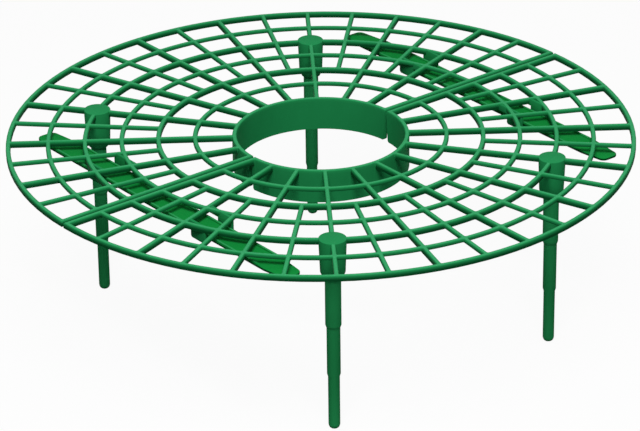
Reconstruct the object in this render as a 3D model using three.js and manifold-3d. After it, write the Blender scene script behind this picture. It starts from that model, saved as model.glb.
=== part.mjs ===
// Strawberry support: a round grid in two halves, joined by two bars, on four legs.
// Millimetres, +Z up. The origin is on the ground under the middle of the collar.
// The halves part along X. The rear half is towards +Y, the front half towards -Y.

import * as THREE from 'three';
import { mergeVertices } from 'three/addons/utils/BufferGeometryUtils.js';
import Module from 'manifold-3d';

// Overall sizes
const RIM_RADIUS = 151;
const COLLAR_RADIUS = 42.6;
const DECK_HEIGHT = 98;
const SPLIT_GAP = 1.4;

// Grid ribs: all are flush on top, the shallow ones stop short below
const RIB_WIDTH = 2;
const DEEP_RIB = 2.6;
const SHALLOW_RIB = 1.6;
const COLLAR_WALL = 1.8;
const COLLAR_DEPTH = 16.4;
const INNER_RING_RADIUS = 61.5;
const RING_PITCH = 17.6;
const INNER_RINGS = 5;
const FULL_SPOKES_PER_TURN = 20;
const HALF_SPOKE_RING = 4;
const BAY_STEPS = 2;

// Leg sockets, under the second ring on the third spoke from the split
const SOCKET_RING = 2;
const SOCKET_SPOKE = 3;
const SOCKET_HEAD_DIAMETER = 13;
const SOCKET_END_DIAMETER = 11.7;
const SOCKET_BODY = 16.8;
const SOCKET_NOSE = 2.4;
const SOCKET_NOSE_WALL = 0.7;
const SOCKET_ROOF = 3;
const SOCKET_DROP = 0.15;
const ROUND_STEPS = 20;

// Legs: three sections, each narrower than the one above it
const LEG_TOP_DIAMETER = 7.5;
const LEG_MIDDLE_DIAMETER = 6.4;
const LEG_LOWER_DIAMETER = 5.5;
const UPPER_STEP_HEIGHT = 54;
const LOWER_STEP_HEIGHT = 28.6;
const STEP_CHAMFER = 0.7;
const LEG_TOP_CHAMFER = 0.8;
const TIP_FLAT_DIAMETER = 2.4;
const TIP_ROUNDING = 2.4;
const TIP_ARC_STEPS = 4;

// Joining bars: thin strips with a low lip along each side
const BAR_OFFSET = 96.2;
const BAR_SHIFT = -3.5;
const BAR_LENGTH = 194.6;
const BAR_WIDTH = 13;
const BAR_DEPTH = 2;
const BAR_FLOOR = 1.3;
const BAR_LIP = 1.2;
const BAR_END_TAPER = 14;
const BAR_TONGUE_WIDTH = 9.6;
const BAR_TONGUE_CHAMFER = 1.2;
const BAR_LIP_RAMP = 6;

// Bar guides, hanging from each half
const GUIDE_START = 35.5;
const GUIDE_LENGTH = 10.5;
const GUIDE_WALL = 1.5;
const GUIDE_FLOOR = 1.6;
const GUIDE_CHAMFER = 0.8;
const GUIDE_DROP = 0.15;
const GUIDE_RAIL = 3.4;

// Clearances: a bar lies on its guides' floors, well below the ribs
const LEG_CLEARANCE = 0.3;
const LEG_SEAT_CLEARANCE = 0.3;
const BAR_TOP_CLEARANCE = 2.1;
const BAR_BOTTOM_CLEARANCE = 0.3;
const BAR_SIDE_CLEARANCE = 0.5;

const wasm = await Module();
wasm.setup();

// A closed geometry as a solid that can be joined and cut
function solidFrom(geometry) {
  const bare = geometry.clone();
  bare.deleteAttribute('normal');
  bare.deleteAttribute('uv');
  const merged = mergeVertices(bare);
  const vertProperties = new Float32Array(merged.attributes.position.array);
  const triVerts = new Uint32Array(merged.index.array);
  return new wasm.Manifold(new wasm.Mesh({ numProp: 3, vertProperties, triVerts }));
}

// A joined or cut solid as a geometry that a mesh can hold
function geometryFrom(solid) {
  const mesh = solid.getMesh();
  const geometry = new THREE.BufferGeometry();
  const positions = new Float32Array(mesh.vertProperties);
  geometry.setAttribute('position', new THREE.BufferAttribute(positions, mesh.numProp));
  geometry.setIndex(new THREE.BufferAttribute(new Uint32Array(mesh.triVerts), 1));
  geometry.computeVertexNormals();
  return geometry;
}

function joined(geometries) {
  const solids = geometries.map(solidFrom);
  return solids.reduce((whole, solid) => whole.add(solid));
}

// Outside radius of a ring: ring 0 is the rim, and the inner rings follow at an even pitch
function ringRadius(ring) {
  return ring === 0 ? RIM_RADIUS : INNER_RING_RADIUS + (INNER_RINGS - ring) * RING_PITCH;
}

function spokeAngle(spoke) {
  return (spoke * 2 * Math.PI) / FULL_SPOKES_PER_TURN;
}

// A box given by its lowest and highest corners
function boxBetween(low, high) {
  const size = new THREE.Vector3().subVectors(high, low);
  const middle = new THREE.Vector3().addVectors(low, high).multiplyScalar(0.5);
  return new THREE.BoxGeometry(size.x, size.y, size.z).translate(middle.x, middle.y, middle.z);
}

// The grid of one half is a net of four-sided tiles that share corners. Each tile is flush with the
// deck's top and hangs to a depth of its own.

// Rings from the rim in to the collar
function ringList() {
  const rings = [];
  for (let ring = 0; ring <= INNER_RINGS; ring += 1) {
    const outer = ringRadius(ring);
    const depth = ring % 2 === 0 ? DEEP_RIB : SHALLOW_RIB;
    rings.push({ outer, inner: outer - RIB_WIDTH, depth, hasHalfSpokes: ring <= HALF_SPOKE_RING });
  }
  const collarInner = COLLAR_RADIUS - COLLAR_WALL;
  rings.push({ outer: COLLAR_RADIUS, inner: collarInner, depth: COLLAR_DEPTH, hasHalfSpokes: false });
  return rings;
}

// Spokes from one end of the split to the other. The ribs beside the split stand off its plane.
function spokeList() {
  const spokes = [];
  const last = FULL_SPOKES_PER_TURN;
  const standOff = (SPLIT_GAP + RIB_WIDTH) / 2;
  for (let index = 0; index <= last; index += 1) {
    const isFull = index % 2 === 0;
    const offset = index === 0 ? standOff : index === last ? -standOff : 0;
    spokes.push({ angle: spokeAngle(index / 2), offset, isFull, depth: isFull ? DEEP_RIB : SHALLOW_RIB });
  }
  return spokes;
}

// Angle at which a spoke's side meets a circle: side is 1 or -1
function sideAngle(radius, spoke, side) {
  return spoke.angle + Math.asin((spoke.offset + (side * RIB_WIDTH) / 2) / radius);
}

function polarPoint(radius, angle) {
  return new THREE.Vector2(radius * Math.cos(angle), radius * Math.sin(angle));
}

function corner(radius, spoke, side) {
  return polarPoint(radius, sideAngle(radius, spoke, side));
}

function spokeTile(outer, inner, spoke, depth) {
  const corners = [
    corner(outer, spoke, -1),
    corner(outer, spoke, 1),
    corner(inner, spoke, 1),
    corner(inner, spoke, -1),
  ];
  return { corners, depth };
}

// The tiles of one ring between two neighbouring spokes
function bayTiles(ring, from, to) {
  const edge = (radius, step) => {
    const start = sideAngle(radius, from, 1);
    const end = sideAngle(radius, to, -1);
    return polarPoint(radius, start + ((end - start) * step) / BAY_STEPS);
  };
  const tiles = [];
  for (let step = 0; step < BAY_STEPS; step += 1) {
    const corners = [
      edge(ring.outer, step),
      edge(ring.outer, step + 1),
      edge(ring.inner, step + 1),
      edge(ring.inner, step),
    ];
    tiles.push({ corners, depth: ring.depth });
  }
  return tiles;
}

function gridTiles() {
  const tiles = [];
  const rings = ringList();
  rings.forEach((ring, index) => {
    const spokes = spokeList().filter((spoke) => spoke.isFull || ring.hasHalfSpokes);
    const next = rings[index + 1];
    spokes.forEach((spoke, place) => {
      tiles.push(spokeTile(ring.outer, ring.inner, spoke, Math.max(ring.depth, spoke.depth)));
      if (place > 0) {
        tiles.push(...bayTiles(ring, spokes[place - 1], spoke));
      }
      if (next && (spoke.isFull || next.hasHalfSpokes)) {
        tiles.push(spokeTile(ring.inner, next.outer, spoke, spoke.depth));
      }
    });
  });
  return tiles;
}

// One closed skin round all the tiles. A tile has a side wall only where its neighbour is shallower
// or missing, and every wall is divided at each depth that the net uses, so that all corners meet.
function skinOf(tiles) {
  const positions = [];
  const put = (point, depth) => positions.push(point.x, point.y, DECK_HEIGHT - depth);
  const face = (...corners) => corners.forEach(([point, depth]) => put(point, depth));
  const quad = (a, b, c, d) => {
    face(a, b, c);
    face(a, c, d);
  };
  const name = (point) => `${point.x.toFixed(5)} ${point.y.toFixed(5)}`;
  const depths = [0, ...new Set(tiles.map((tile) => tile.depth))].sort((first, second) => first - second);
  const edgeDepths = new Map();
  const after = (corners, index) => corners[(index + 1) % corners.length];
  const edgesOf = ({ corners }) => corners.map((point, index) => [point, after(corners, index)]);
  tiles.forEach((tile) => {
    edgesOf(tile).forEach(([from, to]) => edgeDepths.set(`${name(from)} to ${name(to)}`, tile.depth));
  });
  tiles.forEach((tile) => {
    const top = tile.corners.map((point) => [point, 0]);
    const bottom = tile.corners.map((point) => [point, tile.depth]).reverse();
    quad(...top);
    quad(...bottom);
    edgesOf(tile).forEach(([from, to]) => {
      const neighbour = edgeDepths.get(`${name(to)} to ${name(from)}`) ?? 0;
      const levels = depths.filter((depth) => depth >= neighbour && depth <= tile.depth);
      levels.slice(1).forEach((low, index) => {
        quad([from, levels[index]], [from, low], [to, low], [to, levels[index]]);
      });
    });
  });
  const geometry = new THREE.BufferGeometry();
  geometry.setAttribute('position', new THREE.Float32BufferAttribute(positions, 3));
  return geometry;
}

function turned(profile, steps) {
  return new THREE.LatheGeometry(profile, steps).rotateX(Math.PI / 2);
}

// A leg socket: a closed round head a little under the ribs' tops, a tapering body and a chamfered
// nose round the bore
function socket() {
  const boreRadius = LEG_TOP_DIAMETER / 2 + LEG_CLEARANCE;
  const bodyEnd = DECK_HEIGHT - SOCKET_BODY;
  const noseEnd = bodyEnd - SOCKET_NOSE;
  const boreEnd = DECK_HEIGHT - SOCKET_ROOF;
  const profile = [
    new THREE.Vector2(0, boreEnd),
    new THREE.Vector2(boreRadius, boreEnd),
    new THREE.Vector2(boreRadius, noseEnd),
    new THREE.Vector2(boreRadius + SOCKET_NOSE_WALL, noseEnd),
    new THREE.Vector2(SOCKET_END_DIAMETER / 2, bodyEnd),
    new THREE.Vector2(SOCKET_HEAD_DIAMETER / 2, DECK_HEIGHT - SOCKET_DROP),
    new THREE.Vector2(0, DECK_HEIGHT - SOCKET_DROP),
  ];
  return turned(profile, ROUND_STEPS);
}

// The right and the left socket's angles on one half
function socketAngles() {
  const right = spokeAngle(SOCKET_SPOKE);
  return [right, Math.PI - right];
}

function socketPlace(angle) {
  return polarPoint(ringRadius(SOCKET_RING) - RIB_WIDTH / 2, angle);
}

function sockets() {
  return socketAngles().map((angle) => {
    const place = socketPlace(angle);
    return socket().rotateZ(angle).translate(place.x, place.y, 0);
  });
}

const barTop = DECK_HEIGHT - DEEP_RIB - BAR_TOP_CLEARANCE;
const barBottom = barTop - BAR_DEPTH;
const guideFloorTop = barBottom - BAR_BOTTOM_CLEARANCE;
const guideBottom = guideFloorTop - GUIDE_FLOOR;
const guideEnd = GUIDE_START + GUIDE_LENGTH;

// A guide's cheek: a rail from the first full spoke, and a plate hanging at its far end
function guideCheek(middle) {
  const railStart = Math.abs(middle) * Math.tan(spokeAngle(1));
  const railTop = DECK_HEIGHT - GUIDE_DROP;
  const railBottom = railTop - GUIDE_RAIL;
  const shape = new THREE.Shape();
  shape.moveTo(railStart, railTop);
  shape.lineTo(railStart, railBottom);
  shape.lineTo(GUIDE_START, railBottom);
  shape.lineTo(GUIDE_START, guideBottom + GUIDE_CHAMFER);
  shape.lineTo(GUIDE_START + GUIDE_CHAMFER, guideBottom);
  shape.lineTo(guideEnd - GUIDE_CHAMFER, guideBottom);
  shape.lineTo(guideEnd, guideBottom + GUIDE_CHAMFER);
  shape.lineTo(guideEnd, railTop);
  shape.closePath();
  const cheek = new THREE.ExtrudeGeometry(shape, { depth: GUIDE_WALL, bevelEnabled: false });
  // The outline's first axis becomes Y and its second becomes Z
  cheek.rotateX(Math.PI / 2).rotateZ(Math.PI / 2);
  return cheek.translate(middle - GUIDE_WALL / 2, 0, 0);
}

// A guide on the right, side 1, or the left, side -1: two cheeks, and a floor under the bar
function guide(side) {
  const reach = BAR_WIDTH / 2 + BAR_SIDE_CLEARANCE + GUIDE_WALL / 2;
  const centre = side * BAR_OFFSET;
  const low = new THREE.Vector3(centre - reach, GUIDE_START + GUIDE_CHAMFER, guideBottom);
  const high = new THREE.Vector3(centre + reach, guideEnd - GUIDE_CHAMFER, guideFloorTop);
  return [guideCheek(centre - reach), guideCheek(centre + reach), boxBetween(low, high)];
}

function halfDisc() {
  const grid = skinOf(gridTiles());
  return geometryFrom(joined([grid, ...sockets(), ...guide(1), ...guide(-1)]));
}

// The bar's floor: full width, with a taper to a chamfered tongue at each end
function barFloor() {
  const end = BAR_LENGTH / 2;
  const shoulder = end - BAR_END_TAPER;
  const side = BAR_WIDTH / 2;
  const tongue = BAR_TONGUE_WIDTH / 2;
  const tip = tongue - BAR_TONGUE_CHAMFER;
  const shape = new THREE.Shape();
  shape.moveTo(side, -shoulder);
  shape.lineTo(side, shoulder);
  shape.lineTo(tongue, end - BAR_TONGUE_CHAMFER);
  shape.lineTo(tip, end);
  shape.lineTo(-tip, end);
  shape.lineTo(-tongue, end - BAR_TONGUE_CHAMFER);
  shape.lineTo(-side, shoulder);
  shape.lineTo(-side, -shoulder);
  shape.lineTo(-tongue, BAR_TONGUE_CHAMFER - end);
  shape.lineTo(-tip, -end);
  shape.lineTo(tip, -end);
  shape.lineTo(tongue, BAR_TONGUE_CHAMFER - end);
  shape.closePath();
  return new THREE.ExtrudeGeometry(shape, { depth: BAR_FLOOR, bevelEnabled: false });
}

// A bar's lip, whose top edge ramps down towards both ends
function barLip(innerFace) {
  const low = BAR_LENGTH / 2 - BAR_END_TAPER;
  const high = low - BAR_LIP_RAMP;
  const shape = new THREE.Shape();
  shape.moveTo(-low, 0);
  shape.lineTo(low, 0);
  shape.lineTo(low, BAR_FLOOR);
  shape.lineTo(high, BAR_DEPTH);
  shape.lineTo(-high, BAR_DEPTH);
  shape.lineTo(-low, BAR_FLOOR);
  shape.closePath();
  const lip = new THREE.ExtrudeGeometry(shape, { depth: BAR_LIP, bevelEnabled: false });
  lip.rotateX(Math.PI / 2).rotateZ(Math.PI / 2);
  return lip.translate(innerFace, 0, 0);
}

function joiningBar() {
  const rightLip = barLip(BAR_WIDTH / 2 - BAR_LIP);
  const leftLip = barLip(-BAR_WIDTH / 2);
  return geometryFrom(joined([barFloor(), leftLip, rightLip]));
}

// A leg, turned: rounded tip, two chamfered steps, and a chamfered top inside the socket
function leg() {
  const top = DECK_HEIGHT - SOCKET_ROOF - LEG_SEAT_CLEARANCE;
  const lower = LEG_LOWER_DIAMETER / 2;
  const middle = LEG_MIDDLE_DIAMETER / 2;
  const upper = LEG_TOP_DIAMETER / 2;
  const flat = TIP_FLAT_DIAMETER / 2;
  const profile = [new THREE.Vector2(0, 0)];
  for (let step = 0; step <= TIP_ARC_STEPS; step += 1) {
    const angle = (step / TIP_ARC_STEPS) * (Math.PI / 2);
    const radius = flat + (lower - flat) * Math.sin(angle);
    profile.push(new THREE.Vector2(radius, TIP_ROUNDING * (1 - Math.cos(angle))));
  }
  profile.push(
    new THREE.Vector2(lower, LOWER_STEP_HEIGHT - STEP_CHAMFER),
    new THREE.Vector2(middle, LOWER_STEP_HEIGHT),
    new THREE.Vector2(middle, UPPER_STEP_HEIGHT - STEP_CHAMFER),
    new THREE.Vector2(upper, UPPER_STEP_HEIGHT),
    new THREE.Vector2(upper, top - LEG_TOP_CHAMFER),
    new THREE.Vector2(upper - LEG_TOP_CHAMFER, top),
    new THREE.Vector2(0, top),
  );
  return geometryFrom(solidFrom(turned(profile, ROUND_STEPS)));
}

const discMaterial = new THREE.MeshStandardMaterial({ color: 0x1f9a55, roughness: 0.45, metalness: 0 });
const barMaterial = new THREE.MeshStandardMaterial({ color: 0x12943a, roughness: 0.5, metalness: 0 });
const legMaterial = new THREE.MeshStandardMaterial({ color: 0x13703a, roughness: 0.45, metalness: 0 });

function piece(name, geometry, material) {
  const mesh = new THREE.Mesh(geometry, material);
  mesh.name = name;
  return mesh;
}

function addDisc(support) {
  const geometry = halfDisc();
  const rear = piece('rear_half_disc', geometry, discMaterial);
  const front = piece('front_half_disc', geometry, discMaterial);
  front.rotation.z = Math.PI;
  support.add(rear, front);
}

function addBars(support) {
  const geometry = joiningBar();
  const sides = { left_joining_bar: -1, right_joining_bar: 1 };
  for (const [name, side] of Object.entries(sides)) {
    const bar = piece(name, geometry, barMaterial);
    bar.position.set(side * BAR_OFFSET, BAR_SHIFT, barBottom);
    support.add(bar);
  }
}

function addLegs(support) {
  const geometry = leg();
  const [right, left] = socketAngles().map(socketPlace);
  const places = {
    rear_left_leg: [left.x, left.y],
    rear_right_leg: [right.x, right.y],
    front_left_leg: [-right.x, -right.y],
    front_right_leg: [-left.x, -left.y],
  };
  for (const [name, [x, y]] of Object.entries(places)) {
    const post = piece(name, geometry, legMaterial);
    post.position.set(x, y, 0);
    support.add(post);
  }
}

const support = new THREE.Group();
addDisc(support);
addBars(support);
addLegs(support);

export default support;
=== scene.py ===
"""A strawberry support: a round green grid in two halves, two joining bars and four legs.

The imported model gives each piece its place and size. Every piece is modelled here again with
the rounds, fillets and tapers of a moulding, and is dressed in green polypropylene.
"""

import logging
import math
from collections.abc import Callable, Sequence
from dataclasses import dataclass, field, replace
from enum import Enum

import bmesh
import bpy
from mathutils import Matrix, Vector


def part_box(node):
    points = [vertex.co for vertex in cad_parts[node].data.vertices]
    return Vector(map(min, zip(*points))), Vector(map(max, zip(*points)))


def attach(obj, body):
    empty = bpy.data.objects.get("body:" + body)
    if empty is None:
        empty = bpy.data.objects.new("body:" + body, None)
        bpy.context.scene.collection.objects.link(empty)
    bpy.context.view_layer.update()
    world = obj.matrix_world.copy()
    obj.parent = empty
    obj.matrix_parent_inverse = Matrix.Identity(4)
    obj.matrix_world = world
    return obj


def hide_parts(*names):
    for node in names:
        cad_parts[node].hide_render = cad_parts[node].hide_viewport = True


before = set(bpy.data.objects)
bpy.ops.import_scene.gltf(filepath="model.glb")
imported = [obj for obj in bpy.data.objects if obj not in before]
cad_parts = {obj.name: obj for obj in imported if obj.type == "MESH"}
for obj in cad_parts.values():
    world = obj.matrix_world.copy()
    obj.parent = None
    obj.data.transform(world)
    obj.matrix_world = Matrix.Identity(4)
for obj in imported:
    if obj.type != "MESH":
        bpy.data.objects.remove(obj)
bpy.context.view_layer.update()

LOG = logging.getLogger("strawberry_support")

# Lengths are in metres, and angles in radians unless a docstring says otherwise.
MM = 0.001
# Places closer than this are taken as one.
TINY = 0.001 * MM
# A cut that passes closer than this to a point runs through the point.
CUT_MARGIN = TINY / 100
# A face looks up or down where its normal has more than this share of Z.
FACING = 0.9
WHITE = (1, 1, 1, 1)

Colour = tuple[float, float, float]
Point = tuple[float, float, float] | Vector
MeshItem = bmesh.types.BMVert | bmesh.types.BMEdge | bmesh.types.BMFace
Test = Callable[[MeshItem], bool]


class Element(Enum):
    """What a selection is made of: the operator's word, and the name of its list."""

    POINTS = ("VERT", "verts")
    EDGES = ("EDGE", "edges")
    FACES = ("FACE", "faces")


class Side(Enum):
    """Left or right of the collar, as the sign of X."""

    LEFT = -1
    RIGHT = 1

    @property
    def word(self) -> str:
        """The side as the names of pieces have it."""
        return self.name.lower()


def middle(item: MeshItem) -> Vector:
    """The mean of the corners of a point, an edge or a face.

    Args:
        item: a point, an edge or a face in edit mode.

    Returns:
        The place of its middle.
    """
    if isinstance(item, bmesh.types.BMVert):
        return item.co.copy()
    return sum((point.co for point in item.verts), Vector()) / len(item.verts)


def radius_of(place: Vector) -> float:
    """The distance of a place from the Z axis."""
    return math.hypot(place.x, place.y)


def angle_of(place: Vector) -> float:
    """The angle of a place round the Z axis, from +X."""
    return math.atan2(place.y, place.x)


def level(place: Vector) -> Vector:
    """A place moved down to the XY plane."""
    return Vector((place.x, place.y, 0))


def looks_up(face: bmesh.types.BMFace) -> bool:
    """Whether a face looks up."""
    return face.normal.z > FACING


def looks_down(face: bmesh.types.BMFace) -> bool:
    """Whether a face looks down."""
    return face.normal.z < -FACING


def is_sharp(edge: bmesh.types.BMEdge, angle: float) -> bool:
    """Whether the two faces at an edge meet at more than an angle."""
    return edge.is_manifold and edge.calc_face_angle() > angle


class Workpiece:
    """A mesh that is shaped in edit mode, where what an operator acts on is picked in code."""

    def __init__(self, name: str) -> None:
        """Takes the primitive that was just added, and starts to edit it.

        Args:
            name: the name that its object gets.
        """
        self.object = bpy.context.object
        self.object.name = name
        self.object.data.name = name
        bpy.ops.object.transform_apply(location=True, rotation=True, scale=True)
        bpy.ops.object.mode_set(mode="EDIT")

    @classmethod
    def disc(cls, name: str, radius: float, height: float, facets: int, fill: bool = True) -> "Workpiece":
        """A level circle round the Z axis, filled or as a bare ring of edges."""
        bpy.ops.object.select_all(action="DESELECT")
        bpy.ops.mesh.primitive_circle_add(
            vertices=facets,
            radius=radius,
            fill_type="NGON" if fill else "NOTHING",
            location=(0, 0, height),
        )
        return cls(name)

    @classmethod
    def block(cls, name: str, low: Point, high: Point) -> "Workpiece":
        """A box between its lowest and highest corners."""
        bpy.ops.object.select_all(action="DESELECT")
        place = (Vector(low) + Vector(high)) / 2
        bpy.ops.mesh.primitive_cube_add(size=1, location=place, scale=Vector(high) - Vector(low))
        return cls(name)

    @property
    def mesh(self) -> bmesh.types.BMesh:
        """The mesh as it stands in edit mode."""
        return bmesh.from_edit_mesh(self.object.data)

    def pick(self, element: Element, test: Test) -> None:
        """Selects what passes a test, and nothing else.

        Args:
            element: whether points, edges or faces are picked.
            test: says of one of them whether it is selected.
        """
        operator_word, list_name = element.value
        bpy.ops.mesh.select_mode(type=operator_word)
        bpy.ops.mesh.select_all(action="DESELECT")
        mesh = self.mesh
        for item in getattr(mesh, list_name):
            if test(item):
                item.select_set(True)
        mesh.select_flush_mode()
        bmesh.update_edit_mesh(self.object.data)

    def pick_all(self) -> None:
        """Selects the whole mesh."""
        bpy.ops.mesh.select_all(action="SELECT")

    def extrude(self, move: Point = (0, 0, 0)) -> None:
        """Extrudes the selection and moves the new part."""
        bpy.ops.mesh.extrude_region_move(TRANSFORM_OT_translate={"value": move})

    def scale(self, factors: Point, centre: Point) -> None:
        """Scales the selection about a centre."""
        bpy.ops.transform.resize(value=factors, center_override=centre)

    def shift(self, move: Point) -> None:
        """Moves the selection."""
        bpy.ops.transform.translate(value=move)

    def bevel(self, offset: float, segments: int = 2, points: bool = False) -> None:
        """Rounds the selected edges or points."""
        affect = "VERTICES" if points else "EDGES"
        bpy.ops.mesh.bevel(offset=offset, segments=segments, affect=affect, clamp_overlap=False)

    def cut(self, place: Point, normal: Point, clear_below: bool = False, fill: bool = False) -> None:
        """Cuts the selection with a plane.

        Args:
            place: a place on the plane.
            normal: the plane's normal.
            clear_below: whether what lies behind the plane is removed.
            fill: whether the cut is closed with a face.
        """
        bpy.ops.mesh.bisect(
            plane_co=place, plane_no=normal, clear_inner=clear_below, use_fill=fill, threshold=CUT_MARGIN
        )

    def face_outwards(self) -> None:
        """Turns all faces of a closed mesh outwards."""
        self.pick_all()
        bpy.ops.mesh.normals_make_consistent(inside=False)

    def done(self, smooth_below: float = 35) -> bpy.types.Object:
        """Ends the editing.

        Args:
            smooth_below: edges between faces that meet at less than this angle, in degrees, are
                shaded smooth.

        Returns:
            The finished object.
        """
        self.face_outwards()
        bpy.ops.object.mode_set(mode="OBJECT")
        bpy.ops.object.shade_smooth_by_angle(angle=math.radians(smooth_below))
        return self.object


def choose(piece: bpy.types.Object, *others: bpy.types.Object) -> None:
    """Selects some objects and nothing else, and makes the first one active."""
    bpy.ops.object.select_all(action="DESELECT")
    for item in (piece, *others):
        item.select_set(True)
    bpy.context.view_layer.objects.active = piece


def copy_of(
    piece: bpy.types.Object, name: str, move: Point = (0, 0, 0), turn: float = 0
) -> bpy.types.Object:
    """A copy with a mesh of its own, turned about the Z axis and then moved.

    Args:
        piece: the object to copy.
        name: the copy's name.
        move: how far the copy is moved.
        turn: the angle that it is turned by.

    Returns:
        The copy, with its place and its turn in its mesh.
    """
    choose(piece)
    bpy.ops.object.duplicate()
    copy = bpy.context.object
    copy.name = name
    copy.data.name = name
    copy.matrix_world = Matrix.Translation(move) @ Matrix.Rotation(turn, 4, "Z")
    bpy.ops.object.transform_apply(location=True, rotation=True, scale=True)
    return copy


def discard(piece: bpy.types.Object) -> None:
    """Removes a pattern piece after its last copy is made."""
    bpy.data.objects.remove(piece)


def joined(piece: bpy.types.Object, others: Sequence[bpy.types.Object]) -> bpy.types.Object:
    """Joins objects into the first of them."""
    choose(piece, *others)
    bpy.ops.object.join()
    return bpy.context.object


def finished(piece: bpy.types.Object, material: bpy.types.Material) -> bpy.types.Object:
    """Gives a piece its one material, and returns the piece."""
    piece.data.materials.clear()
    piece.data.materials.append(material)
    return piece


@dataclass
class GridNet:
    """The flat net of one half's ribs, which is then given depth and rounded tops.

    Ring 0 is the rim, and the last ring is the collar's wall. A node is where a ring crosses a
    spoke or meets the rib beside the split. The margins say how near to a middle line or a side
    a place counts as on it, and the end_ lengths shape the ends of the collar's wall.
    """

    top: float
    rim_radius: float
    rib_width: float = 2.2 * MM
    split_gap: float = 1.4 * MM
    shallow: float = 1.75 * MM
    deep: float = 2.75 * MM
    collar_depth: float = 16.4 * MM
    collar_radius: float = 42.6 * MM
    inner_ring_radius: float = 61.5 * MM
    ring_pitch: float = 17.6 * MM
    inner_rings: int = 5
    spokes_per_half: int = 20
    last_half_spoke_ring: int = 4
    fillet: float = 0.45 * MM
    top_round: float = 0.62 * MM
    trim_margin: float = 0.02 * MM
    end_start: float = 0.3 * MM
    end_draft: float = 0.9 * MM
    end_chamfer: float = 0.6 * MM
    facets_per_turn: int = 120
    ring_margin: float = 50 * TINY
    spoke_margin: float = 1e-4
    radial_margin: float = 1e-5
    rings: list[float] = field(init=False)
    nodes: list[Vector] = field(init=False, default_factory=list)

    def __post_init__(self) -> None:
        """Works out the middle radius of each ring."""
        steps = reversed(range(self.inner_rings))
        inner = [self.inner_ring_radius + step * self.ring_pitch for step in steps]
        outsides = (self.rim_radius, *inner, self.collar_radius)
        self.rings = [radius - self.rib_width / 2 for radius in outsides]

    @property
    def split_line(self) -> float:
        """The distance from the split's plane to the middle of the rib beside it."""
        return (self.split_gap + self.rib_width) / 2

    @property
    def spoke_step(self) -> float:
        """The angle between neighbouring spokes, half spokes included."""
        return math.pi / self.spokes_per_half

    @property
    def corner_round(self) -> float:
        """The radius of a cell's rounded corner, measured at the ribs' middle lines."""
        return self.rib_width / 2 + self.fillet

    def ring_at(self, place: Vector) -> int | None:
        """The ring whose middle line passes through a place, if any."""
        for index, radius in enumerate(self.rings):
            if abs(radius_of(place) - radius) < self.ring_margin:
                return index
        return None

    def spoke_at(self, place: Vector) -> int | None:
        """The spoke whose middle line passes through a place, if any."""
        index = round(angle_of(place) / self.spoke_step)
        on_line = abs(angle_of(place) - index * self.spoke_step) < self.spoke_margin
        return index if on_line and 0 < index < self.spokes_per_half else None

    def is_full(self, spoke: int) -> bool:
        """Whether a spoke reaches the collar."""
        return spoke % 2 == 0

    def is_deep_ring(self, ring: int) -> bool:
        """Whether a ring is as deep as the full spokes."""
        return ring % 2 == 0

    def is_node(self, place: Vector) -> bool:
        """Whether a place is a node."""
        ring = self.ring_at(place)
        if ring is None:
            return False
        if abs(place.y - self.split_line) < TINY:
            return True
        spoke = self.spoke_at(place)
        return spoke is not None and (self.is_full(spoke) or ring <= self.last_half_spoke_ring)

    def is_crowded(self, place: Vector) -> bool:
        """Whether a ring's corner lies too close to a node to leave room for its round."""
        if self.ring_at(place) is None or self.is_node(place):
            return False
        return any((level(place) - node).length < self.corner_round for node in self.nodes)

    def draw_outlines(self, work: Workpiece) -> None:
        """Draws the rings and cuts them at the split."""
        radii = [self.rim_radius, *self.rings, self.rings[-1] - self.rib_width / 2]
        work.pick_all()
        for outer, inner in zip(radii, radii[1:]):
            work.extrude()
            work.scale((inner / outer, inner / outer, 1), (0, 0, self.top))
        for distance, clear in ((self.split_gap / 2, True), (self.split_line, False)):
            work.pick_all()
            work.cut((0, distance, 0), (0, 1, 0), clear_below=clear)
        self.nodes = [level(point.co) for point in work.mesh.verts if self.is_node(point.co)]

    def crosses_split_rib(self, edge: bmesh.types.BMEdge) -> bool:
        """Whether an edge runs from the split's side to the middle of the rib beside it."""
        first, last = (point.co for point in edge.verts)
        beside = max(first.y, last.y) < self.split_line + TINY
        return not edge.is_boundary and beside and abs(first.y - last.y) > TINY

    def is_past_end(self, edge: bmesh.types.BMEdge) -> bool:
        """Whether an edge continues the split rib's middle line past its last node."""
        distance = radius_of(middle(edge))
        on_line = all(abs(point.co.y - self.split_line) < TINY for point in edge.verts)
        past = distance > self.rings[0] or distance < self.rings[-1]
        return not edge.is_boundary and on_line and past

    def is_spare_radius(self, edge: bmesh.types.BMEdge) -> bool:
        """Whether a radial edge lies on no spoke, or would crowd a node."""
        first, last = (point.co for point in edge.verts)
        if edge.is_boundary or abs(angle_of(first) - angle_of(last)) > self.radial_margin:
            return False
        distance = radius_of(middle(edge))
        if distance > self.rings[0] or distance < self.rings[-1]:
            return any(self.is_node(place) or self.is_crowded(place) for place in (first, last))
        spoke = self.spoke_at(first)
        if spoke is None:
            return True
        return not self.is_full(spoke) and distance < self.rings[self.last_half_spoke_ring]

    def clear_cells(self, work: Workpiece) -> None:
        """Dissolves the lines that lie on no rib, so that each cell is one face."""
        work.pick(Element.EDGES, self.crosses_split_rib)
        bpy.ops.mesh.dissolve_edges(use_verts=True)
        for test in (self.is_past_end, self.is_spare_radius):
            work.pick(Element.EDGES, test)
            bpy.ops.mesh.dissolve_edges(use_verts=False)
        work.pick(Element.POINTS, lambda point: self.is_crowded(point.co))
        bpy.ops.mesh.dissolve_verts()

    def open_cells(self, work: Workpiece) -> None:
        """Rounds the cells' corners, draws each cell in by half a rib and opens it."""
        work.pick(Element.POINTS, lambda point: self.is_node(point.co))
        work.bevel(self.corner_round, segments=3, points=True)
        work.pick(Element.FACES, self.is_cell)
        bpy.ops.mesh.inset(thickness=self.rib_width / 2, use_individual=True)
        bpy.ops.mesh.delete(type="FACE")

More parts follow.
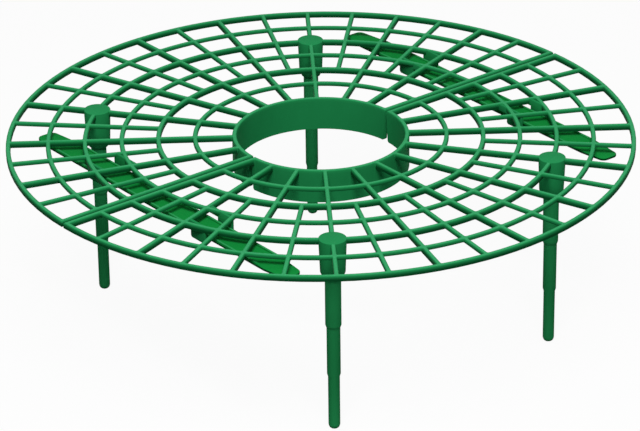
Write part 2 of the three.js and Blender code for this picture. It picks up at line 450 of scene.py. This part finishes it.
    def is_cell(self, face: bmesh.types.BMFace) -> bool:
        """Whether a face is a cell: a strip of rib is far narrower."""
        return face.calc_area() > self.rib_width * face.calc_perimeter()

    def trim_undersides(self, work: Workpiece) -> None:
        """Cuts the undersides at the nodes along the collar's wall and along the deep ribs' sides."""
        for node in self.nodes:
            for place, normal in self.trims_at(node):
                work.pick(Element.FACES, lambda face: self.is_under_node(face, node))
                work.cut(place, normal)

    def trims_at(self, node: Vector) -> list[tuple[Vector, Vector]]:
        """The planes that part the deep undersides from the shallow ones at a node.

        Args:
            node: the middle of the node.

        Returns:
            A place and a normal for each plane.
        """
        ring, spoke = self.ring_at(node), self.spoke_at(node)
        out = node.normalized()
        reach = self.rib_width / 2 + self.trim_margin
        if ring == len(self.rings) - 1:
            # Along the outside of the collar's wall.
            half_chord = math.sqrt(self.collar_radius**2 - self.split_line**2)
            along = Vector((math.copysign(1, node.x), 0, 0))
            return [(along * half_chord, along)] if spoke is None else [(out * self.collar_radius, out)]
        if spoke is None:
            # Along the rib beside the split, where a shallow ring meets it.
            ahead = Vector((0, 1, 0))
            return [] if self.is_deep_ring(ring) else [(node + ahead * reach, ahead)]
        if self.is_deep_ring(ring) == self.is_full(spoke):
            return []
        if self.is_full(spoke):
            # Along both sides of a full spoke that crosses a shallow ring.
            across = Vector((-out.y, out.x, 0))
            return [(node + across * reach, across), (node - across * reach, across)]
        # Along the sides of a deep ring that a half spoke reaches.
        inwards = [] if ring == self.last_half_spoke_ring else [(node - out * reach, out)]
        return inwards if ring == 0 else [*inwards, (node + out * reach, out)]

    def is_under_node(self, face: bmesh.types.BMFace, node: Vector) -> bool:
        """Whether a face looks down and touches the round of a node."""
        if not self.is_underside(face, self.shallow):
            return False
        reach = 2 * self.corner_round
        return any((level(point.co) - node).length < reach for point in face.verts)

    def is_on_deep_rib(self, place: Vector) -> bool:
        """Whether a place lies on a deep ring, a full spoke or the rib beside the split."""
        half = self.rib_width / 2 + self.trim_margin
        distance = radius_of(place)
        for index, radius in enumerate(self.rings):
            if self.is_deep_ring(index) and abs(distance - radius) < half:
                return True
        if place.y < self.split_line + half:
            return True
        full_step = 2 * self.spoke_step
        spoke = round(angle_of(place) / full_step)
        return abs(distance * math.sin(angle_of(place) - spoke * full_step)) < half

    def is_underside(self, face: bmesh.types.BMFace, depth: float) -> bool:
        """Whether a face looks down at a given depth below the deck's top."""
        return looks_down(face) and abs(middle(face).z - (self.top - depth)) < TINY

    def give_depth(self, work: Workpiece) -> None:
        """Hangs the shallow ribs, then the deep ones and last the collar's wall."""

        def is_deep(face: bmesh.types.BMFace) -> bool:
            """Whether a face is the underside of a deep rib."""
            return self.is_underside(face, self.shallow) and self.is_on_deep_rib(middle(face))

        def is_collar(face: bmesh.types.BMFace) -> bool:
            """Whether a face is the underside of the collar's wall."""
            return self.is_underside(face, self.deep) and radius_of(middle(face)) < self.collar_radius

        work.pick_all()
        work.extrude((0, 0, -self.shallow))
        work.face_outwards()
        self.trim_undersides(work)
        work.pick(Element.FACES, is_deep)
        work.extrude((0, 0, self.shallow - self.deep))
        work.pick(Element.FACES, is_collar)
        work.extrude((0, 0, self.deep - self.collar_depth))

    def draft_ends(self, work: Workpiece) -> None:
        """Opens the split downwards, by slanted ends and cut corners on the collar's wall."""
        wall_top = self.top - self.deep - self.end_start
        bottom = self.top - self.collar_depth
        half_gap = self.split_gap / 2
        slant = ((0, half_gap, wall_top), (0, wall_top - bottom, self.end_draft))
        corner = ((0, half_gap + self.end_draft + self.end_chamfer, bottom), (0, 1, 1))
        for place, normal in (slant, corner):
            work.pick(Element.FACES, lambda face: middle(face).z < self.top - self.deep - TINY)
            work.cut(place, normal, clear_below=True, fill=True)

    def is_top_edge(self, edge: bmesh.types.BMEdge) -> bool:
        """Whether an edge lies between the deck's top and a rib's side."""
        upward = [face for face in edge.link_faces if looks_up(face)]
        return len(edge.link_faces) == 2 and len(upward) == 1

    def build(self, name: str) -> bpy.types.Object:
        """Models the ribs and the collar's wall of the rear half as one closed mesh.

        Args:
            name: the name of the new object.

        Returns:
            The object, in place.
        """
        work = Workpiece.disc(name, self.rim_radius, self.top, self.facets_per_turn, fill=False)
        self.draw_outlines(work)
        self.clear_cells(work)
        self.open_cells(work)
        self.give_depth(work)
        self.draft_ends(work)
        work.pick(Element.EDGES, self.is_top_edge)
        work.bevel(self.top_round, segments=3)
        return work.done(smooth_below=20)


@dataclass
class LegSocket:
    """A closed socket that hangs from the grid: a round head, a tapering body and a nose."""

    top: float
    head_radius: float = 6.5 * MM
    end_radius: float = 5.85 * MM
    body: float = 16.8 * MM
    nose: float = 2.4 * MM
    nose_wall: float = 0.7 * MM
    bore_radius: float = 4.05 * MM
    roof: float = 3 * MM
    head_round: float = 0.3 * MM
    edge_round: float = 0.25 * MM
    facets: int = 48

    def build(self, name: str) -> bpy.types.Object:
        """Models a socket on the Z axis.

        Args:
            name: the name of the new object.

        Returns:
            The object, ready to be copied to its places.
        """
        work = Workpiece.disc(name, self.head_radius, self.top, self.facets)
        work.pick_all()
        centre = (0, 0, self.top)
        taper = self.end_radius / self.head_radius
        nose_radius = self.bore_radius + self.nose_wall
        work.extrude((0, 0, -self.body))
        work.scale((taper, taper, 1), centre)
        work.extrude((0, 0, -self.nose))
        work.scale((nose_radius / self.end_radius, nose_radius / self.end_radius, 1), centre)
        bpy.ops.mesh.inset(thickness=self.nose_wall)
        work.extrude((0, 0, self.body + self.nose - self.roof))
        work.face_outwards()
        work.pick(Element.EDGES, lambda edge: self.is_rim(edge, self.top))
        work.bevel(self.head_round, segments=3)
        work.pick(Element.EDGES, lambda edge: self.is_rim(edge, self.top - self.body))
        work.bevel(self.edge_round)
        return work.done()

    def is_rim(self, edge: bmesh.types.BMEdge, height: float) -> bool:
        """Whether an edge runs round the outside at a height."""
        outside = radius_of(middle(edge)) > self.bore_radius + self.nose_wall
        return outside and all(abs(point.co.z - height) < TINY for point in edge.verts)


@dataclass
class BarGuide:
    """A guide under one half: two cheeks that hang from rails, and a floor that carries the bar."""

    top: float
    bottom: float
    bar_offset: float
    start: float = 35.5 * MM
    length: float = 10.5 * MM
    wall: float = 1.5 * MM
    floor: float = 1.6 * MM
    half_channel: float = 7 * MM
    chamfer: float = 0.8 * MM
    rail_depth: float = 3.4 * MM
    spoke_angle: float = math.radians(18)
    edge_round: float = 0.3 * MM
    sharp_angle: float = 0.5

    def cheek(self, name: str, across: float) -> bpy.types.Object:
        """A cheek whose middle plane is at a distance from the split's middle.

        Args:
            name: the name of the new object.
            across: the X of its middle.

        Returns:
            The object, in place on the rear half.
        """
        rail_start = abs(across) * math.tan(self.spoke_angle)
        plate_top = self.top - self.rail_depth
        low = (across - self.wall / 2, rail_start, plate_top)
        high = (across + self.wall / 2, self.start + self.length, self.top)
        work = Workpiece.block(name, low, high)
        work.pick_all()
        work.cut((0, self.start, 0), (0, 1, 0))
        work.pick(Element.FACES, lambda face: looks_down(face) and middle(face).y > self.start)
        work.extrude((0, 0, self.bottom - plate_top))
        work.pick(Element.EDGES, self.is_lower_corner)
        work.bevel(self.chamfer, segments=1)
        work.pick(Element.EDGES, lambda edge: is_sharp(edge, self.sharp_angle))
        work.bevel(self.edge_round)
        return work.done()

    def is_lower_corner(self, edge: bmesh.types.BMEdge) -> bool:
        """Whether an edge crosses the lower end of a cheek's plate."""
        first, last = (point.co for point in edge.verts)
        return middle(edge).z < self.bottom + TINY and abs(first.x - last.x) > TINY

    def build(self, name: str, side: Side) -> list[bpy.types.Object]:
        """Models one guide of the rear half.

        Args:
            name: the start of its pieces' names.
            side: left or right.

        Returns:
            Its two cheeks and its floor.
        """
        centre = side.value * self.bar_offset
        reach = self.half_channel + self.wall / 2
        cheeks = [self.cheek(f"{name}_cheek_{sign}", centre + sign * reach) for sign in (-1, 1)]
        end = self.start + self.length - self.chamfer
        low = (centre - reach, self.start + self.chamfer, self.bottom)
        floor = Workpiece.block(f"{name}_floor", low, (centre + reach, end, self.bottom + self.floor))
        floor.pick(Element.EDGES, lambda edge: abs(edge.verts[0].co.x - edge.verts[1].co.x) > TINY)
        floor.bevel(self.edge_round)
        return [*cheeks, floor.done()]


@dataclass
class JoiningBar:
    """A thin strip with a low lip along each side and a tongue at each end."""

    low: Vector
    high: Vector
    floor: float = 1.3 * MM
    lip: float = 1.2 * MM
    end_taper: float = 14 * MM
    tongue_width: float = 9.6 * MM
    tongue_round: float = 2.6 * MM
    lip_ramp: float = 6 * MM
    edge_round: float = 0.28 * MM
    sharp_angle: float = 0.6

    def build(self, name: str) -> bpy.types.Object:
        """Models the bar in place.

        Args:
            name: the name of the new object.

        Returns:
            The finished object.
        """
        centre = (self.low + self.high) / 2
        floor_top = self.low.z + self.floor
        width = self.high.x - self.low.x
        shoulders = (self.low.y + self.end_taper, self.high.y - self.end_taper)
        work = Workpiece.block(name, self.low, (self.high.x, self.high.y, floor_top))
        for place in shoulders:
            work.pick_all()
            work.cut((0, place, 0), (0, 1, 0))
        for end in (self.low.y, self.high.y):
            work.pick(Element.POINTS, lambda point: abs(point.co.y - end) < TINY)
            work.scale((self.tongue_width / width, 1, 1), centre)
        work.pick(Element.EDGES, self.is_tongue_corner)
        work.bevel(self.tongue_round, segments=4)
        self.raise_lips(work, floor_top, shoulders)
        work.pick(Element.EDGES, lambda edge: is_sharp(edge, self.sharp_angle))
        work.bevel(self.edge_round)
        return work.done()

    def is_tongue_corner(self, edge: bmesh.types.BMEdge) -> bool:
        """Whether an upright edge stands at the end of a tongue."""
        upright = abs(edge.verts[0].co.z - edge.verts[1].co.z) > TINY
        place = middle(edge).y
        return upright and min(abs(place - self.low.y), abs(place - self.high.y)) < TINY

    def raise_lips(self, work: Workpiece, floor_top: float, shoulders: tuple[float, float]) -> None:
        """Raises a lip along each side, with a ramp at each of its ends.

        Args:
            work: the strip that is being shaped.
            floor_top: the height of the strip's top.
            shoulders: the two places along Y where the tapers start.
        """
        for place in (self.low.x + self.lip, self.high.x - self.lip):
            work.pick(Element.FACES, lambda face: shoulders[0] < middle(face).y < shoulders[1])
            work.cut((place, 0, 0), (1, 0, 0))

        def is_lip(face: bmesh.types.BMFace) -> bool:
            """Whether a face lies under a lip."""
            place = middle(face)
            outside = place.x < self.low.x + self.lip or place.x > self.high.x - self.lip
            return looks_up(face) and shoulders[0] < place.y < shoulders[1] and outside

        work.pick(Element.FACES, is_lip)
        work.extrude((0, 0, self.high.z - floor_top))
        for end, way in zip(shoulders, (1, -1)):
            work.pick(
                Element.POINTS,
                lambda point: abs(point.co.y - end) < TINY and point.co.z > self.high.z - TINY,
            )
            work.shift((0, way * self.lip_ramp, 0))


@dataclass
class Leg:
    """A turned leg: three sections, each narrower than the one above it, and a rounded tip."""

    place: Vector
    top: float
    top_radius: float = 3.75 * MM
    middle_radius: float = 3.2 * MM
    lower_radius: float = 2.75 * MM
    upper_step: float = 54 * MM
    lower_step: float = 28.6 * MM
    step_taper: float = 1.5 * MM
    top_chamfer: float = 0.8 * MM
    tip_flat: float = 1.2 * MM
    tip_round: float = 2.4 * MM
    tip_steps: int = 6
    facets: int = 40
    edge_round: float = 0.2 * MM
    sharp_angle: float = 0.3

    def profile(self) -> list[tuple[float, float]]:
        """Radius and height of each corner, from the tip to the top."""
        points = []
        for step in range(self.tip_steps + 1):
            angle = step / self.tip_steps * math.pi / 2
            radius = self.tip_flat + (self.lower_radius - self.tip_flat) * math.sin(angle)
            points.append((radius, self.tip_round * (1 - math.cos(angle))))
        return points + [
            (self.lower_radius, self.lower_step - self.step_taper),
            (self.middle_radius, self.lower_step),
            (self.middle_radius, self.upper_step - self.step_taper),
            (self.top_radius, self.upper_step),
            (self.top_radius, self.top - self.top_chamfer),
            (self.top_radius - self.top_chamfer, self.top),
        ]

    def build(self, name: str) -> bpy.types.Object:
        """Models the leg in place.

        Args:
            name: the name of the new object.

        Returns:
            The finished object.
        """
        points = self.profile()
        work = Workpiece.disc(name, points[0][0], 0, self.facets)
        work.pick_all()
        for (radius, height), (next_radius, next_height) in zip(points, points[1:]):
            work.extrude((0, 0, next_height - height))
            work.scale((next_radius / radius, next_radius / radius, 1), (0, 0, 0))
        work.pick(Element.EDGES, self.is_step)
        work.bevel(self.edge_round)
        work.pick_all()
        work.shift((self.place.x, self.place.y, 0))
        return work.done()

    def is_step(self, edge: bmesh.types.BMEdge) -> bool:
        """Whether an edge runs round a step or the top's chamfer."""
        is_level = abs(edge.verts[0].co.z - edge.verts[1].co.z) <= TINY
        return is_level and is_sharp(edge, self.sharp_angle)


class Value:
    """A shader socket that takes part in Python sums, which add its Math nodes."""

    def __init__(self, shader: "Shader", socket: bpy.types.NodeSocket | None) -> None:
        """Wraps an output socket of a tree that is being made."""
        self.shader = shader
        self.socket = socket

    def _maths(self, operation: str, first: "Value | float", second: "Value | float") -> "Value":
        """Adds a Math node on two values."""
        return self.shader.node("ShaderNodeMath", {"operation": operation}, {0: first, 1: second})

    def __add__(self, other: "Value | float") -> "Value":
        """Adds."""
        return self._maths("ADD", self, other)

    def __rsub__(self, other: float) -> "Value":
        """Takes this value from a number."""
        return self._maths("SUBTRACT", other, self)

    def __mul__(self, other: "Value | float") -> "Value":
        """Multiplies."""
        return self._maths("MULTIPLY", self, other)

    __radd__ = __add__
    __rmul__ = __mul__


class Shader:
    """The node tree of a material or of the world, while it is being made."""

    def __init__(self, owner: bpy.types.Material | bpy.types.World) -> None:
        """Empties the node tree of a material or of the world.

        Args:
            owner: what the tree belongs to.
        """
        owner.use_nodes = True
        self.tree = owner.node_tree
        self.tree.nodes.clear()

    def node(
        self,
        kind: str,
        settings: dict[str, object] | None = None,
        inputs: dict[str | int, object] | None = None,
        output: int | str = 0,
    ) -> Value:
        """Adds a node.

        Args:
            kind: the node's type.
            settings: its own settings, set before its sockets.
            inputs: the values or links of its sockets, by name or index.
            output: the name or index of the output that is returned.

        Returns:
            The output, as a value. It has no socket where the node ends the tree.
        """
        made = self.tree.nodes.new(kind)
        for key, value in (settings or {}).items():
            setattr(made, key, value)
        for key, value in (inputs or {}).items():
            if isinstance(value, Value):
                self.tree.links.new(value.socket, made.inputs[key])
            else:
                made.inputs[key].default_value = value
        return Value(self, made.outputs[output] if made.outputs else None)

    def blend(self, factor: Value | float, first: Value | Colour, second: Value | Colour) -> Value:
        """Mixes two colours.

        Args:
            factor: the share of the second colour.
            first: a colour or a link.
            second: a colour or a link.

        Returns:
            The mixed colour.
        """
        colours = [value if isinstance(value, Value) else (*value, 1) for value in (first, second)]
        # A Mix node has its two colours in sockets 6 and 7, and the mixed one in output 2.
        inputs = {0: factor, 6: colours[0], 7: colours[1]}
        return self.node("ShaderNodeMix", {"data_type": "RGBA", "blend_type": "MIX"}, inputs, output=2)

    def noise(self, scale: float, detail: float = 2, stretch: Point = (1, 1, 1)) -> Value:
        """Noise on Object coordinates, from 0 to 1.

        Args:
            scale: how many features there are in a metre.
            detail: how many finer layers lie on the first.
            stretch: a factor on the scale for each axis.

        Returns:
            The noise's value.
        """
        place = self.node("ShaderNodeTexCoord", output="Object")
        scaled = self.node("ShaderNodeMapping", {}, {"Vector": place, "Scale": stretch})
        return self.node("ShaderNodeTexNoise", {}, {"Vector": scaled, "Scale": scale, "Detail": detail})

    def spread(self, value: Value, low: float, high: float) -> Value:
        """Stretches what a value does between two bounds to the whole range from 0 to 1."""
        return self.node("ShaderNodeMapRange", {}, {"Value": value, "From Min": low, "From Max": high})

    def near(self, value: Value, target: float, margin: float) -> Value:
        """One where a value lies within a margin of a target, and zero elsewhere."""
        return self.node("ShaderNodeMath", {"operation": "COMPARE"}, {0: value, 1: target, 2: margin})

    def seen_directly(self) -> Value:
        """One for camera, glossy and transmission rays, and zero for the rest."""
        rays = ("Is Camera Ray", "Is Glossy Ray", "Is Transmission Ray")
        camera, glossy, clear = (self.node("ShaderNodeLightPath", output=ray) for ray in rays)
        return camera + glossy + clear


@dataclass(frozen=True)
class Polypropylene:
    """Moulded green plastic: its colour, which clouds and flow lines vary, and its grain."""

    name: str
    base: Colour
    pale: Colour
    dark: Colour
    pale_share: float = 0.35
    dark_share: float = 0.3
    least_roughness: float = 0.49
    roughness_swing: float = 0.08
    gloss: float = 0.01
    cloud_size: float = 38 * MM
    cloud_range: tuple[float, float] = (0.35, 0.65)
    flow_size: float = 9 * MM
    flow_stretch: Point = (1, 1, 0.4)
    flow_range: tuple[float, float] = (0.3, 0.7)
    flow_relief: float = 2
    grain_size: float = 0.5 * MM
    grain_depth: float = 0.02 * MM
    bump_strength: float = 0.35

    def material(self) -> bpy.types.Material:
        """Makes the material.

        Returns:
            A Principled surface whose colour, roughness and grain vary on Object coordinates.
        """
        made = bpy.data.materials.new(self.name)
        shader = Shader(made)
        clouds = shader.noise(1 / self.cloud_size, detail=3)
        clouds = shader.spread(clouds, *self.cloud_range)
        flow = shader.noise(1 / self.flow_size, detail=4, stretch=self.flow_stretch)
        flow = shader.spread(flow, *self.flow_range)
        grain = shader.noise(1 / self.grain_size, detail=3)
        colour = shader.blend(self.pale_share * clouds, self.base, self.pale)
        colour = self.add_painted_light(shader, shader.blend(self.dark_share * flow, colour, self.dark))
        roughness = self.least_roughness + self.roughness_swing * flow + self.roughness_swing * grain
        relief = {
            "Height": grain + self.flow_relief * flow,
            "Strength": self.bump_strength,
            "Distance": self.grain_depth,
        }
        look = {
            "Base Color": colour,
            "Roughness": roughness,
            "Normal": shader.node("ShaderNodeBump", {}, relief),
            "Specular IOR Level": self.gloss,
        }
        surface = shader.node("ShaderNodeBsdfPrincipled", {}, look)
        shader.node("ShaderNodeOutputMaterial", {}, {"Surface": surface})
        return made

    def add_painted_light(self, shader: Shader, colour: Value) -> Value:
        """The colour with painted light added: plain pieces get none."""
        return colour


@dataclass(frozen=True)
class PaintedLightPlastic(Polypropylene):
    """Plastic with a painted highlight along its top and painted shade down its sides, left off its
    undersides.

    Its heights are those of the finished pieces above the ground.
    """

    top: float = 97.94 * MM
    painted_light_fade: float = 0.12 * MM
    shade_start: float = 0.45 * MM
    shade_full: float = 1.75 * MM
    unshaded_radius: float = 43 * MM
    undersides: tuple[float, ...] = (96.19 * MM, 95.19 * MM)
    underside_margin: float = 0.01 * MM
    # The colours of the painted highlight on the tops and of the painted shade on the sides.
    painted_highlight: Colour = (0.052, 0.405, 0.158)
    painted_shade: Colour = (0.001, 0.040, 0.010)
    painted_highlight_share: float = 0.8
    painted_shade_share: float = 0.85

    def add_painted_light(self, shader: Shader, colour: Value) -> Value:
        """Adds painted light to a colour: a painted highlight at the top and painted shade down the
        sides, by height and outside the collar.

        Args:
            shader: the material that is being made.
            colour: the colour of the new plastic.

        Returns:
            The colour, paler at the top and darker on the sides.
        """
        place = shader.node("ShaderNodeTexCoord", output="Object")
        height = shader.node("ShaderNodeSeparateXYZ", {}, {"Vector": place}, output="Z")
        across = shader.node("ShaderNodeMapping", {}, {"Vector": place, "Scale": (1, 1, 0)})
        radius = shader.node("ShaderNodeVectorMath", {"operation": "LENGTH"}, {0: across}, output="Value")
        outside = shader.spread(radius, self.unshaded_radius, self.unshaded_radius + self.painted_light_fade)
        # A painted highlight: the colour grows paler over the topmost part of each piece.
        painted_highlight = shader.spread(height, self.top - self.painted_light_fade, self.top)
        # Painted shade: the colour grows darker down the sides, outside the collar, but not on the
        # undersides' faces.
        painted_shade = shader.spread(height, self.top - self.shade_start, self.top - self.shade_full) * outside
        for underside in self.undersides:
            painted_shade = painted_shade * (1 - shader.near(height, underside, self.underside_margin))
        colour = shader.blend(self.painted_highlight_share * painted_highlight, colour, self.painted_highlight)
        return shader.blend(self.painted_shade_share * painted_shade, colour, self.painted_shade)


# The ribs carry a painted highlight on their tops and painted shade down their sides.
RIB_PLASTIC = PaintedLightPlastic(
    "rib_green",
    (0.015, 0.264, 0.080),
    (0.021, 0.314, 0.101),
    (0.011, 0.214, 0.059),
)
# A faint painted highlight on the tops of the sockets and guides, and no painted shade.
GRID_PLASTIC = replace(RIB_PLASTIC, name="grid_green", top=98 * MM, painted_highlight_share=0.15, painted_shade_share=0)
# A painted highlight on the tops of the bar's lips, and painted shade down its sides.
BAR_PLASTIC = PaintedLightPlastic(
    "bar_green",
    (0.007, 0.265, 0.046),
    (0.013, 0.315, 0.060),
    (0.004, 0.205, 0.038),
    top=93.3 * MM,
    shade_start=0.75 * MM,
    shade_full=1.0 * MM,
    unshaded_radius=0,
    undersides=(91.3 * MM,),
    painted_highlight_share=0.5,
)
LEG_PLASTIC = Polypropylene(
    "leg_green",
    (0.020, 0.305, 0.092),
    (0.026, 0.348, 0.110),
    (0.014, 0.250, 0.070),
)


@dataclass
class StrawberrySupport:
    """The whole object: its pieces, what they replace, and what they ride on."""

    ribs: bpy.types.Material = field(default_factory=RIB_PLASTIC.material)
    grid: bpy.types.Material = field(default_factory=GRID_PLASTIC.material)
    bar: bpy.types.Material = field(default_factory=BAR_PLASTIC.material)
    leg: bpy.types.Material = field(default_factory=LEG_PLASTIC.material)
    head_rise: float = 0.06 * MM
    guide_drop: float = 0.15 * MM
    guide_below_bar: float = 1.9 * MM

    def place(self, piece: bpy.types.Object, slot: str, body: str, node: str) -> None:
        """Puts a finished piece in its node's place.

        Args:
            piece: the finished piece.
            slot: a material slot's name; not used.
            body: the body that it rides on.
            node: the node that it stands for.
        """
        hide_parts(node)
        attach(piece, body)
        LOG.info("%s: %d faces, on %s", piece.name, len(piece.data.polygons), body)

    def half_disc(self, name: str) -> bpy.types.Object:
        """Models the rear half: the ribs, the collar's half, two sockets and two guides.

        Args:
            name: the name of the new object.

        Returns:
            The moulding, as one object.
        """
        low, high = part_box("rear_half_disc")
        net = GridNet(top=high.z - self.head_rise, rim_radius=high.x)
        whole = finished(net.build(name), self.ribs)
        pattern = LegSocket(top=high.z).build("socket_pattern")
        extras = []
        for leg_node in ("rear_left_leg", "rear_right_leg"):
            place = self.leg_place(leg_node)
            extras.append(copy_of(pattern, f"{leg_node}_socket", (place.x, place.y, 0)))
        discard(pattern)
        bar_low, bar_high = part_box("right_joining_bar")
        guide = BarGuide(
            top=high.z - self.guide_drop,
            bottom=bar_low.z - self.guide_below_bar,
            bar_offset=(bar_low.x + bar_high.x) / 2,
        )
        for side in Side:
            extras += guide.build(f"{side.word}_guide", side)
        for extra in extras:
            finished(extra, self.grid)
        return joined(whole, extras)

    def leg_place(self, node: str) -> Vector:
        """The middle of a leg's node, on the ground."""
        low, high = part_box(node)
        return level((low + high) / 2)

    def build(self) -> None:
        """Models and dresses every piece."""
        rear = self.half_disc("rear_grid_half")
        front = copy_of(rear, "front_grid_half", turn=math.pi)
        self.place(rear, "grid", "rear_half", "rear_half_disc")
        self.place(front, "grid", "front_half", "front_half_disc")
        for side in Side:
            node = f"{side.word}_joining_bar"
            bar = finished(JoiningBar(*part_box(node)).build(f"{side.word}_bar"), self.bar)
            self.place(bar, "bar", f"{side.word}_bar", node)
        for corner in ("rear_left", "rear_right", "front_left", "front_right"):
            node = f"{corner}_leg"
            leg = Leg(place=self.leg_place(node), top=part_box(node)[1].z).build(f"{corner}_post")
            self.place(finished(leg, self.leg), "leg", f"{corner}_post", node)


def direction(azimuth: float, elevation: float) -> Vector:
    """The way from the object to whoever looks at it, or to a lamp.

    Args:
        azimuth: degrees from straight in front of the object, towards its right.
        elevation: degrees above the ground.

    Returns:
        A vector of length 1.
    """
    round_by, up_by = math.radians(azimuth), math.radians(elevation)
    level_part = math.cos(up_by)
    return Vector((math.sin(round_by) * level_part, -math.cos(round_by) * level_part, math.sin(up_by)))


@dataclass
class Studio:
    """A white floor and background, a soft light and the photograph's camera.

    Its angles are in degrees, and its sensor in millimetres.
    """

    floor_size: float = 6
    floor_white: Colour = (0.9, 0.9, 0.9)
    floor_bounce: Colour = (0.08, 0.08, 0.08)
    shown_white: float = 0.93
    sky_level: float = 0.24
    lamp_azimuth: float = -38
    lamp_elevation: float = 57
    lamp_distance: float = 1.8
    lamp_size: float = 0.8
    lamp_watts: float = 24
    sensor: float = 36
    focal_pixels: float = 3430.86
    image_width: float = 640
    azimuth: float = -38.36
    elevation: float = 26.17
    distance: float = 1570.18 * MM
    target: Point = (-55.08 * MM, -68.22 * MM, 96.8 * MM)
    roll: float = -0.69

    def floor(self) -> None:
        """Lays a pale floor that shows white and keeps a faint shadow."""
        bpy.ops.object.select_all(action="DESELECT")
        bpy.ops.mesh.primitive_plane_add(size=self.floor_size)
        plane = bpy.context.object
        plane.name = "studio_floor"
        material = bpy.data.materials.new("studio_white")
        shader = Shader(material)
        seen = shader.seen_directly()
        colour = shader.blend(seen, self.floor_bounce, self.floor_white)
        matt = shader.node("ShaderNodeBsdfDiffuse", {}, {"Color": colour})
        glow = shader.node("ShaderNodeEmission", {}, {"Color": WHITE, "Strength": 1})
        mixed = shader.node("ShaderNodeMixShader", {}, {0: self.shown_white * seen, 1: matt, 2: glow})
        shader.node("ShaderNodeOutputMaterial", {}, {"Surface": mixed})
        plane.data.materials.append(material)

    def sky(self) -> None:
        """Sets a white background that lights the object only softly."""
        world = bpy.data.worlds.new("studio_sky")
        bpy.context.scene.world = world
        shader = Shader(world)
        strength = self.sky_level + (1 - self.sky_level) * shader.seen_directly()
        white = shader.node("ShaderNodeBackground", {}, {"Color": WHITE, "Strength": strength})
        shader.node("ShaderNodeOutputWorld", {}, {"Surface": white})

    def lamp(self) -> None:
        """Hangs a soft lamp high above the viewer."""
        way = direction(self.lamp_azimuth, self.lamp_elevation)
        turn = way.to_track_quat("Z", "Y").to_euler()
        bpy.ops.object.select_all(action="DESELECT")
        bpy.ops.object.light_add(type="AREA", location=way * self.lamp_distance, rotation=turn)
        lamp = bpy.context.object
        lamp.name = "studio_lamp"
        lamp.data.shape = "DISK"
        lamp.data.size = self.lamp_size
        lamp.data.energy = self.lamp_watts

    def camera(self) -> None:
        """Sets the camera at the photograph's viewing angle."""
        back = direction(self.azimuth, self.elevation)
        right = direction(self.azimuth + 90, 0)
        up = back.cross(right)
        roll = math.radians(self.roll)
        rolled_right = math.cos(roll) * right + math.sin(roll) * up
        rolled_up = math.cos(roll) * up - math.sin(roll) * right
        data = bpy.data.cameras.new("photograph_camera")
        camera = bpy.data.objects.new("photograph_camera", data)
        bpy.context.scene.collection.objects.link(camera)
        data.sensor_width = self.sensor
        data.lens = self.focal_pixels * self.sensor / self.image_width
        turn = Matrix((rolled_right, rolled_up, back)).transposed().to_4x4()
        camera.matrix_world = Matrix.Translation(Vector(self.target) + back * self.distance) @ turn
        bpy.context.scene.camera = camera

    def build(self) -> None:
        """Sets up the whole studio."""
        bpy.context.scene.view_settings.view_transform = "Standard"
        self.floor()
        self.sky()
        self.lamp()
        self.camera()


def main() -> None:
    """Builds the object and the studio."""
    logging.basicConfig(level=logging.INFO, format="%(name)s: %(message)s")
    Studio().build()
    StrawberrySupport().build()


if __name__ == "__main__":
    main()
